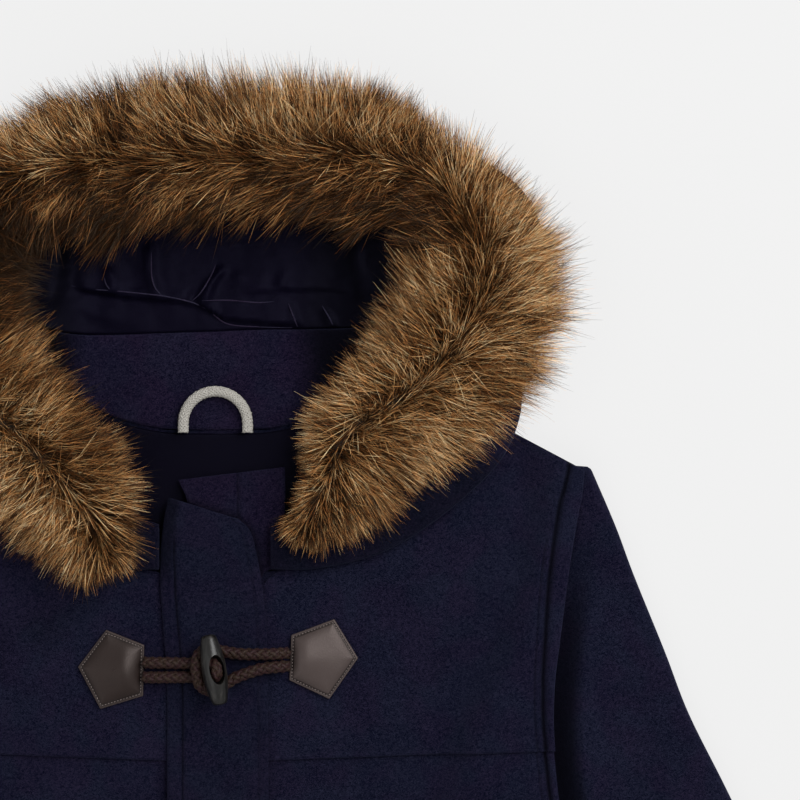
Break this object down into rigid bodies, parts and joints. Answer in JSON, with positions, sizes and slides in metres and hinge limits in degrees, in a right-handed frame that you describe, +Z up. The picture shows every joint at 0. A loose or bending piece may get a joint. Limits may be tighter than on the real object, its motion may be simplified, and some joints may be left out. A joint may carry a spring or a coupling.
{
  "type": "hooded duffle coat",
  "caption": "Child's navy wool duffle coat with a fur trimmed hood, storm yoke, covered placket and corded horn toggles on leather patches, laid flat on its back.",
  "frame": {"origin": "on the surface that the coat lies on, under the middle of its box", "axes": "+Z up off the surface, +Y from the hem towards the hood, +X towards the wearer's left sleeve"},
  "size_m": [0.648, 0.73, 0.0509],
  "materials": {
    "wool": "matte napped navy wool melton",
    "lining": "smooth dark navy lining",
    "fur": "long brown faux fur with dark and pale tips",
    "leather": "smooth dark brown leather with a soft shine",
    "cord": "braided dark brown cord",
    "horn": "polished dark grey horn look",
    "loop": "silver grey woven cord"
  },
  "bodies": {
    "root": {"back_panel": "wool", "back_neck_stay": "lining", "front_left": "wool", "front_right": "wool", "yoke_left": "wool", "yoke_right": "wool", "placket": "wool", "inner_guard": "wool", "sleeve_left": "wool", "sleeve_right": "wool", "hood_back": "wool", "hood_side_left": "wool", "hood_side_right": "wool", "hood_lining": "lining", "neck_facing": "wool", "fur_trim": "fur", "locker_loop": "loop", "toggle_patch_1": "leather", "toggle_patch_2": "leather", "toggle_patch_3": "leather", "loop_patch_1": "leather", "loop_patch_2": "leather", "loop_patch_3": "leather", "toggle_1": "horn", "toggle_2": "horn", "toggle_3": "horn", "toggle_cord_1": "cord", "toggle_cord_2": "cord", "toggle_cord_3": "cord", "loop_cord_1": "cord", "loop_cord_2": "cord", "loop_cord_3": "cord"}
  },
  "joints": []
}
